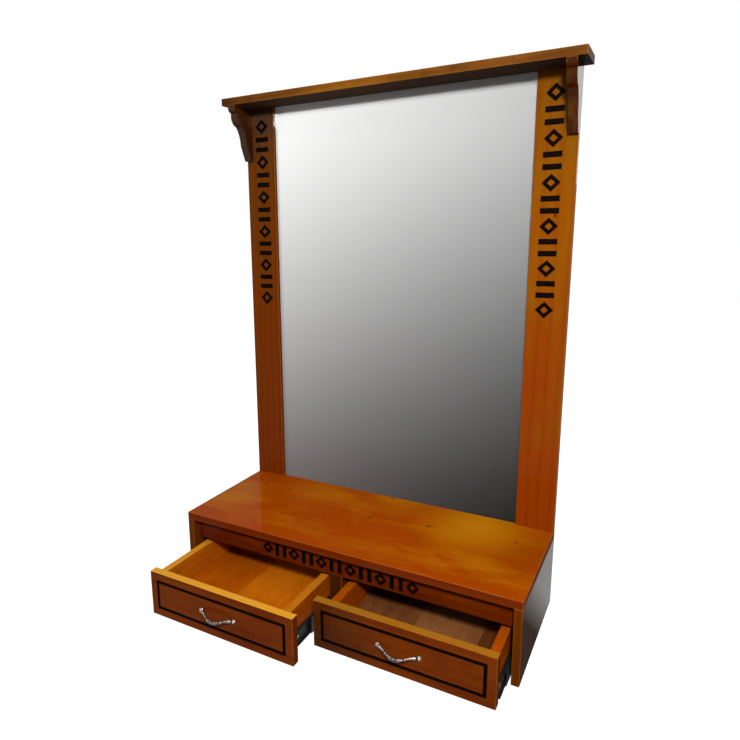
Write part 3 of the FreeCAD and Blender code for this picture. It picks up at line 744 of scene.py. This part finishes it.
def pressed_board():
    """Hardboard: pressed fibres, matt, mottled in specks of two or three millimetres."""
    board = bpy.context.scene.station_trim.backing
    return mottled("Pressed hardboard", shade(board, 0.6), board, size=(3, 3, 3), detail=4.0,
                   relief=0.1, Roughness=0.8, IOR=1.5)


class STATION_OT_silver_mirror(bpy.types.Operator):
    """Silver the glass with a painted reflection and give its backing board a plain hardboard face"""

    bl_idname = "station.silver_mirror"
    bl_label = "Silver mirror"

    def execute(self, context):
        dress("mirror_glass", glass_with_painted_reflection())
        dress("mirror_backing", pressed_board())
        return {"FINISHED"}


# ---- inlay

def black_strip():
    """Cut black laminate: satin, with a faint leather-like emboss of about a millimetre and a half."""
    strip = bpy.context.scene.station_trim.inlay
    return mottled("Black laminate strip", strip, shade(strip, 2.2), size=(1.5, 1.5, 1.5), detail=2.0,
                   relief=0.05, Roughness=0.55, IOR=1.46, Specular_IOR_Level=0.01)


class STATION_OT_blacken_inlay(bpy.types.Operator):
    """Give the inlaid ornament its black strips"""

    bl_idname = "station.blacken_inlay"
    bl_label = "Blacken inlay"

    def execute(self, context):
        material = black_strip()
        for node in ("left_post_inlay", "right_post_inlay", "apron_inlay"):
            dress(node, material)
        return {"FINISHED"}


# ---- hardware

# Values of the smears at which grease begins to show and shows most, and how much of it shows there
GREASE_BEGINS, GREASE_FULL, GREASE_MOST = 0.45, 0.75, 0.7

# How much smoother and how much rougher than usual the drawn lines leave the steel
LINES_SMOOTHER, LINES_ROUGHER = 0.1, 0.12


def plated_steel(name, base, grain, roughness, metallic):
    """Rolled or turned steel, blackened or zinc plated: drawn lines along its length, grease in places."""
    grease = bpy.context.scene.station_metal.slide_grease
    material, tree, shader, place = start_material(name, Metallic=metallic, Roughness=roughness,
                                                   Specular_IOR_Level=0.2)
    patterns = []
    for size, detail in (((grain, 40, grain), 2.0), ((12, 30, 12), 3.0)):
        space = add_node(tree, "Mapping", inputs={"Vector": place, "Scale": per_size(*size)})
        patterns.append(add_node(tree, "TexNoise", inputs={
            "Vector": space, "Scale": 1.0, "Detail": detail}))
    lines, smears = patterns
    greasy = add_node(tree, "MapRange", inputs={
        "Value": smears, "From Min": GREASE_BEGINS, "From Max": GREASE_FULL, "To Max": GREASE_MOST})
    tone = add_node(tree, "Mix", {"data_type": "RGBA"}, {
        SHARE: greasy, FIRST: base, SECOND: grease}).outputs[MIXED]
    rough = add_node(tree, "MapRange", inputs={
        "Value": lines, "From Min": NOISE_LOW, "From Max": NOISE_HIGH,
        "To Min": roughness - LINES_SMOOTHER, "To Max": roughness + LINES_ROUGHER})
    bump = add_node(tree, "Bump", inputs={"Height": lines, "Distance": 0.03 * MM})
    set_inputs(tree, shader, {"Base Color": tone, "Roughness": rough, "Normal": bump})
    return material


def bare_beech():
    """Turned beech dowel, bare, dry and smooth, with short dark rays along its length."""
    beech = bpy.context.scene.station_trim.plain_beech
    return mottled("Bare beech dowel", shade(beech, 0.7), beech, size=(1.5, 1.5, 8), detail=3.0,
                   relief=0.0, Roughness=0.65, IOR=1.5)


class STATION_OT_plate_hardware(bpy.types.Operator):
    """Finish the slides, screws, hanger plates and dowels"""

    bl_idname = "station.plate_hardware"
    bl_label = "Plate hardware"

    def execute(self, context):
        metal = context.scene.station_metal
        slide = plated_steel("Rolled blackened steel", metal.slide_steel, grain=0.8, roughness=0.5,
                             metallic=0.3)
        zinc = plated_steel("Zinc-plated steel", metal.zinc, grain=0.6, roughness=0.3, metallic=1.0)
        beech = bare_beech()
        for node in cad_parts:
            if node.endswith("_member"):
                dress(node, slide)
            elif node.endswith("_screws") or node == "keyhole_hangers":
                dress(node, zinc)
            elif node.endswith("_dowels"):
                dress(node, beech)
        return {"FINISHED"}


# ---- handles

# Values of the cast grain between which it dulls and brightens the polish, and by how much at each
GRAIN_LOW, GRAIN_HIGH, DULLED, BRIGHTENED = 0.35, 0.65, -0.2, 0.15

# Roughness of the patina and of the polished nickel
PATINA_ROUGHNESS, NICKEL_ROUGHNESS = 0.5, 0.16


def antique_nickel():
    """Cast zinc alloy, nickel plated and antiqued: bright on the high spots, near black in the hollows.
    Its polish also paints highlights along the top and shade on the underside.
    """
    metal = bpy.context.scene.station_metal
    material, tree, shader, place = start_material("Antiqued nickel plate", Metallic=1.0,
                                                   Roughness=0.22)
    polish = add_node(tree, "Attribute", {"attribute_name": "polish"}).outputs["Fac"]
    space = add_node(tree, "Mapping", inputs={"Vector": place, "Scale": per_size(2.5, 2.5, 2.5)})
    cast = add_node(tree, "TexNoise", inputs={"Vector": space, "Scale": 1.0, "Detail": 3.0})
    rub = add_node(tree, "MapRange", inputs={
        "Value": cast, "From Min": GRAIN_LOW, "From Max": GRAIN_HIGH, "To Min": DULLED,
        "To Max": BRIGHTENED})
    bright = add_node(tree, "Math", {"operation": "ADD", "use_clamp": True}, {0: polish, 1: rub})
    tone = add_node(tree, "Mix", {"data_type": "RGBA"}, {
        SHARE: bright, FIRST: metal.patina, SECOND: metal.nickel}).outputs[MIXED]
    rough = add_node(tree, "MapRange", inputs={
        "Value": bright, "To Min": PATINA_ROUGHNESS, "To Max": NICKEL_ROUGHNESS})
    set_inputs(tree, shader, {"Base Color": tone, "Roughness": rough})
    return material


def sweep(shape, polish, stations, sides):
    """A closed bar through the stations: each has a centre, a radius and a polish, which also paints
    highlights and shade.
    """
    ring = bmesh.ops.create_circle(shape, segments=sides, radius=1.0, cap_ends=True)["verts"]
    loop = list(dict.fromkeys(edge for v in ring for edge in v.link_edges))
    old = Matrix.Identity(4)
    for i, (centre, radius, shine) in enumerate(stations):
        before = stations[max(i - 1, 0)][0]
        after = stations[min(i + 1, len(stations) - 1)][0]
        turn = (after - before).to_track_quat("Z", "Y").to_matrix().to_4x4()
        new = Matrix.Translation(centre) @ turn @ Matrix.Diagonal((radius, radius, radius, 1.0))
        if i > 0:
            grown = bmesh.ops.extrude_edge_only(shape, edges=loop)["geom"]
            ring = [part for part in grown if isinstance(part, bmesh.types.BMVert)]
            loop = [part for part in grown if isinstance(part, bmesh.types.BMEdge)
                    and all(v in ring for v in part.verts)]
        bmesh.ops.transform(shape, matrix=new @ old.inverted(), verts=ring)
        for v in ring:
            v[polish] = shine
        old = new
    bmesh.ops.contextual_create(shape, geom=loop)


# Sides of the bow, and steps in which a foot is turned
BOW_SIDES = 16
FOOT_STEPS = 32

# One half of the bow from a foot to the middle, in millimetres: how far it lies from the middle, how far
# it stands off the front and hangs below the feet, its radius, and its polish from nought to one, partly
# antiquing and partly painted highlights and shade
BOW = (
    (48.0, 2.5, 0.0, 3.0, 0.1), (46.0, 4.0, -0.6, 2.6, 0.0), (44.2, 4.6, -1.0, 2.6, 0.05),
    (43.2, 5.0, -1.3, 3.9, 0.4), (42.0, 5.6, -1.5, 4.4, 0.6), (39.5, 6.8, -1.6, 4.2, 0.6),
    (35.0, 9.4, -1.4, 3.4, 0.55), (30.0, 12.4, -0.6, 2.8, 0.45), (25.8, 15.0, 0.4, 2.5, 0.3),
    (24.5, 15.8, 0.8, 2.4, 0.1), (23.8, 16.2, 1.0, 3.4, 0.6), (21.8, 17.3, 1.5, 3.5, 0.7),
    (21.0, 17.8, 1.7, 2.6, 0.0), (18.0, 19.2, 2.4, 3.1, 0.25), (12.0, 21.6, 3.8, 3.8, 0.4),
    (6.0, 23.2, 4.7, 4.1, 0.4), (3.4, 23.6, 4.9, 3.3, 0.0), (2.6, 23.7, 4.9, 4.3, 0.35),
    (0.9, 23.8, 5.0, 4.3, 0.35),
)


def cast_handle(name, node):
    """One bow handle: petalled feet, flared arms, beads and a full grip, cast as one piece."""
    size = bpy.context.scene.station_handle
    low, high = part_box(node)
    foot = Vector(((low.x + high.x) / 2, high.y, size.foot_height))
    stretch = size.pitch / 2 / (BOW[0][0] * MM)
    shape = bmesh.new()
    polish = shape.verts.layers.float.new("polish")
    stations = [(foot + Vector((x * stretch, -out, -drop)) * MM, radius * MM, shine)
                for x, out, drop, radius, shine in BOW]
    mirrored = [(Vector((2 * foot.x - place.x, place.y, place.z)), radius, shine)
                for place, radius, shine in stations]
    sweep(shape, polish, stations + mirrored[::-1], BOW_SIDES)
    for side in (-1, 1):
        rosette(shape, polish, foot + Vector((side * size.pitch / 2, 0, 0)))
    bmesh.ops.recalc_face_normals(shape, faces=shape.faces)
    # Painted light and shade: the sides less bright than the top, and the underside hardly bright at all.
    shape.normal_update()
    for v in shape.verts:
        v[polish] *= SIDE_PAINTED_LIGHT + (1 - SIDE_PAINTED_LIGHT) * v.normal.z
    for face in shape.faces:
        face.smooth = True
    piece = as_object(name, shape)
    smooth = piece.modifiers.new("Smooth casting", "SUBSURF")
    smooth.levels = 1
    smooth.render_levels = 1
    return piece


# Half of a foot's turned profile: its share of the radius, its height in millimetres and its polish
FOOT = ((1.0, 0.0, 0.3), (1.0, 1.0, 0.6), (0.93, 2.0, 1.0), (0.78, 2.7, 0.9), (0.66, 2.6, 0.1),
        (0.6, 3.4, 0.4), (0.5, 4.6, 1.0), (0.3, 5.6, 1.0), (0.0, 6.0, 1.0))

# Share of a foot's radius from which it is petalled, and half the share by which it is drawn in there
PETALS_FROM, PETAL_CUT = 0.7, 0.05

# Share of its polish that a side face of a handle keeps under the painted shade; the underside keeps less
SIDE_PAINTED_LIGHT = 0.55


def rosette(shape, polish, foot):
    """A petalled foot turned about the line from the front, with a domed middle."""
    size = bpy.context.scene.station_handle
    radius = size.rosette_radius
    corners = []
    for across, height, shine in FOOT:
        corner = shape.verts.new(foot + Vector((across * radius, -height * MM, 0)))
        corner[polish] = shine
        corners.append(corner)
    edges = [shape.edges.new(pair) for pair in zip(corners, corners[1:])]
    before = set(shape.verts)
    bmesh.ops.spin(shape, geom=corners + edges, cent=foot, axis=(0, 1, 0), angle=FULL_TURN,
                   steps=FOOT_STEPS, use_merge=True)
    spun = corners + [v for v in shape.verts if v not in before]
    bmesh.ops.remove_doubles(shape, verts=spun, dist=0.02 * MM)
    rim = [e for e in shape.edges if e.is_boundary and all(v in spun for v in e.verts)]
    bmesh.ops.contextual_create(shape, geom=rim)
    for v in spun:
        if not v.is_valid:
            continue
        arm = v.co - foot
        distance = math.hypot(arm.x, arm.z)
        if distance > PETALS_FROM * radius:
            squeeze = 1 - PETAL_CUT * (1 + math.cos(size.petals * math.atan2(arm.z, arm.x)))
            v.co.x = foot.x + arm.x * squeeze
            v.co.z = foot.z + arm.z * squeeze
            v[polish] *= squeeze


class STATION_OT_cast_handles(bpy.types.Operator):
    """Make the two bow handles as antiqued nickel castings"""

    bl_idname = "station.cast_handles"
    bl_label = "Cast handles"

    def execute(self, context):
        material = antique_nickel()
        for side in ("left", "right"):
            node = f"{side}_drawer_handle"
            piece = cast_handle(f"{side}_cast_handle", node)
            piece.data.materials.append(material)
            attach(piece, f"{side}_drawer")
            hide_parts(node)
        return {"FINISHED"}


# ---- studio

def seen_rays(tree):
    """One for what the camera sees, straight, mirrored or through glass, and nought for other light."""
    path = add_node(tree, "LightPath")
    seen = path.outputs["Is Camera Ray"]
    for ray in ("Is Glossy Ray", "Is Transmission Ray"):
        seen = add_node(tree, "Math", {"operation": "MAXIMUM"}, {0: seen, 1: path.outputs[ray]})
    return seen


def pale_floor():
    """Painted floor, matt and pale; what looks at it straight sees its shadows lifted towards white."""
    studio = bpy.context.scene.station_studio
    material, tree, shader, place = start_material("Pale matt paint", Roughness=0.9, IOR=1.45,
                                                   Specular_IOR_Level=0.0, Base_Color=studio.floor)
    away = add_node(tree, "VectorMath", {"operation": "LENGTH"}, {0: place}).outputs["Value"]
    lift = add_node(tree, "MapRange", inputs={
        "Value": away, "From Min": studio.lift_start, "From Max": studio.lift_end,
        "To Min": studio.floor_lift})
    strength = add_node(tree, "Math", {"operation": "MULTIPLY"}, {0: seen_rays(tree), 1: lift})
    white = add_node(tree, "Emission", inputs={"Strength": strength})
    both = add_node(tree, "AddShader", inputs={0: shader, 1: white})
    set_inputs(tree, tree.nodes["Material Output"], {"Surface": both})
    return material


def lay_floor():
    """The floor round the station."""
    shape = bmesh.new()
    bmesh.ops.create_grid(shape, x_segments=1, y_segments=1,
                          size=bpy.context.scene.station_studio.floor_size / 2)
    floor = as_object("studio_floor", shape)
    floor.data.materials.append(pale_floor())


def light_room():
    """Four square lights, and an even light from all round that looks white."""
    scene = bpy.context.scene
    studio = scene.station_studio
    for name in LIGHTS:
        light = bpy.data.lights.new(f"{name}_light", "AREA")
        light.shape = "SQUARE"
        light.size = getattr(studio, f"{name}_size")
        light.energy = getattr(studio, f"{name}_power")
        lamp = bpy.data.objects.new(f"{name}_light", light)
        lamp.location = getattr(studio, f"{name}_place")
        towards = Vector(studio.lights_aim) - lamp.location
        lamp.rotation_euler = towards.to_track_quat("-Z", "Y").to_euler()
        scene.collection.objects.link(lamp)

    world = bpy.data.worlds.new("studio_room")
    world.use_nodes = True
    tree = world.node_tree
    level = add_node(tree, "MapRange", inputs={"Value": seen_rays(tree), "To Min": studio.room_light})
    set_inputs(tree, tree.nodes["Background"], {"Color": linear("#FFFFFF"), "Strength": level})
    scene.world = world


def place_camera():
    """The camera, and colours shown as they are."""
    scene = bpy.context.scene
    studio = scene.station_studio
    lens = bpy.data.cameras.new("studio_camera")
    lens.sensor_width = 36.0
    lens.lens = studio.focal_length
    lens.shift_x = studio.shift_x
    lens.shift_y = studio.shift_y
    camera = bpy.data.objects.new("studio_camera", lens)
    camera.location = studio.camera_place
    camera.rotation_euler = studio.camera_turn
    scene.collection.objects.link(camera)
    scene.camera = camera
    scene.view_settings.view_transform = "Standard"


class STATION_OT_set_studio(bpy.types.Operator):
    """Lay the floor, light the room and place the camera"""

    bl_idname = "station.set_studio"
    bl_label = "Set studio"

    def execute(self, context):
        lay_floor()
        light_room()
        place_camera()
        return {"FINISHED"}


# ---- panel

class STATION_PT_sidebar(bpy.types.Panel):
    """The station's buttons and settings in the sidebar"""

    bl_idname = "STATION_PT_sidebar"
    bl_label = "Mirror Station"
    bl_space_type = "VIEW_3D"
    bl_region_type = "UI"
    bl_category = "Mirror Station"

    def draw(self, context):
        for operator in OPERATORS:
            self.layout.operator(operator.bl_idname)
        for attribute, group in GROUPS.items():
            settings = getattr(context.scene, attribute)
            part = self.layout.box()
            for name in group.__annotations__:
                part.prop(settings, name)


OPERATORS = (
    STATION_OT_stain_boards,
    STATION_OT_paint_lines,
    STATION_OT_ease_brackets,
    STATION_OT_silver_mirror,
    STATION_OT_blacken_inlay,
    STATION_OT_plate_hardware,
    STATION_OT_cast_handles,
    STATION_OT_set_studio,
)
GROUPS = {
    "station_wood": StationWoodSettings,
    "station_glass": StationGlassSettings,
    "station_metal": StationMetalSettings,
    "station_trim": StationTrimSettings,
    "station_handle": StationHandleSettings,
    "station_studio": StationStudioSettings,
}


def register():
    for group in GROUPS.values():
        bpy.utils.register_class(group)
    for attribute, group in GROUPS.items():
        setattr(bpy.types.Scene, attribute, PointerProperty(type=group))
    for operator in OPERATORS:
        bpy.utils.register_class(operator)
    bpy.utils.register_class(STATION_PT_sidebar)


def unregister():
    bpy.utils.unregister_class(STATION_PT_sidebar)
    for operator in reversed(OPERATORS):
        bpy.utils.unregister_class(operator)
    for attribute in GROUPS:
        delattr(bpy.types.Scene, attribute)
    for group in reversed(list(GROUPS.values())):
        bpy.utils.unregister_class(group)


def main():
    register()
    bpy.ops.station.stain_boards()
    bpy.ops.station.paint_lines()
    bpy.ops.station.ease_brackets()
    bpy.ops.station.silver_mirror()
    bpy.ops.station.blacken_inlay()
    bpy.ops.station.plate_hardware()
    bpy.ops.station.cast_handles()
    bpy.ops.station.set_studio()


if __name__ == "__main__":
    main()
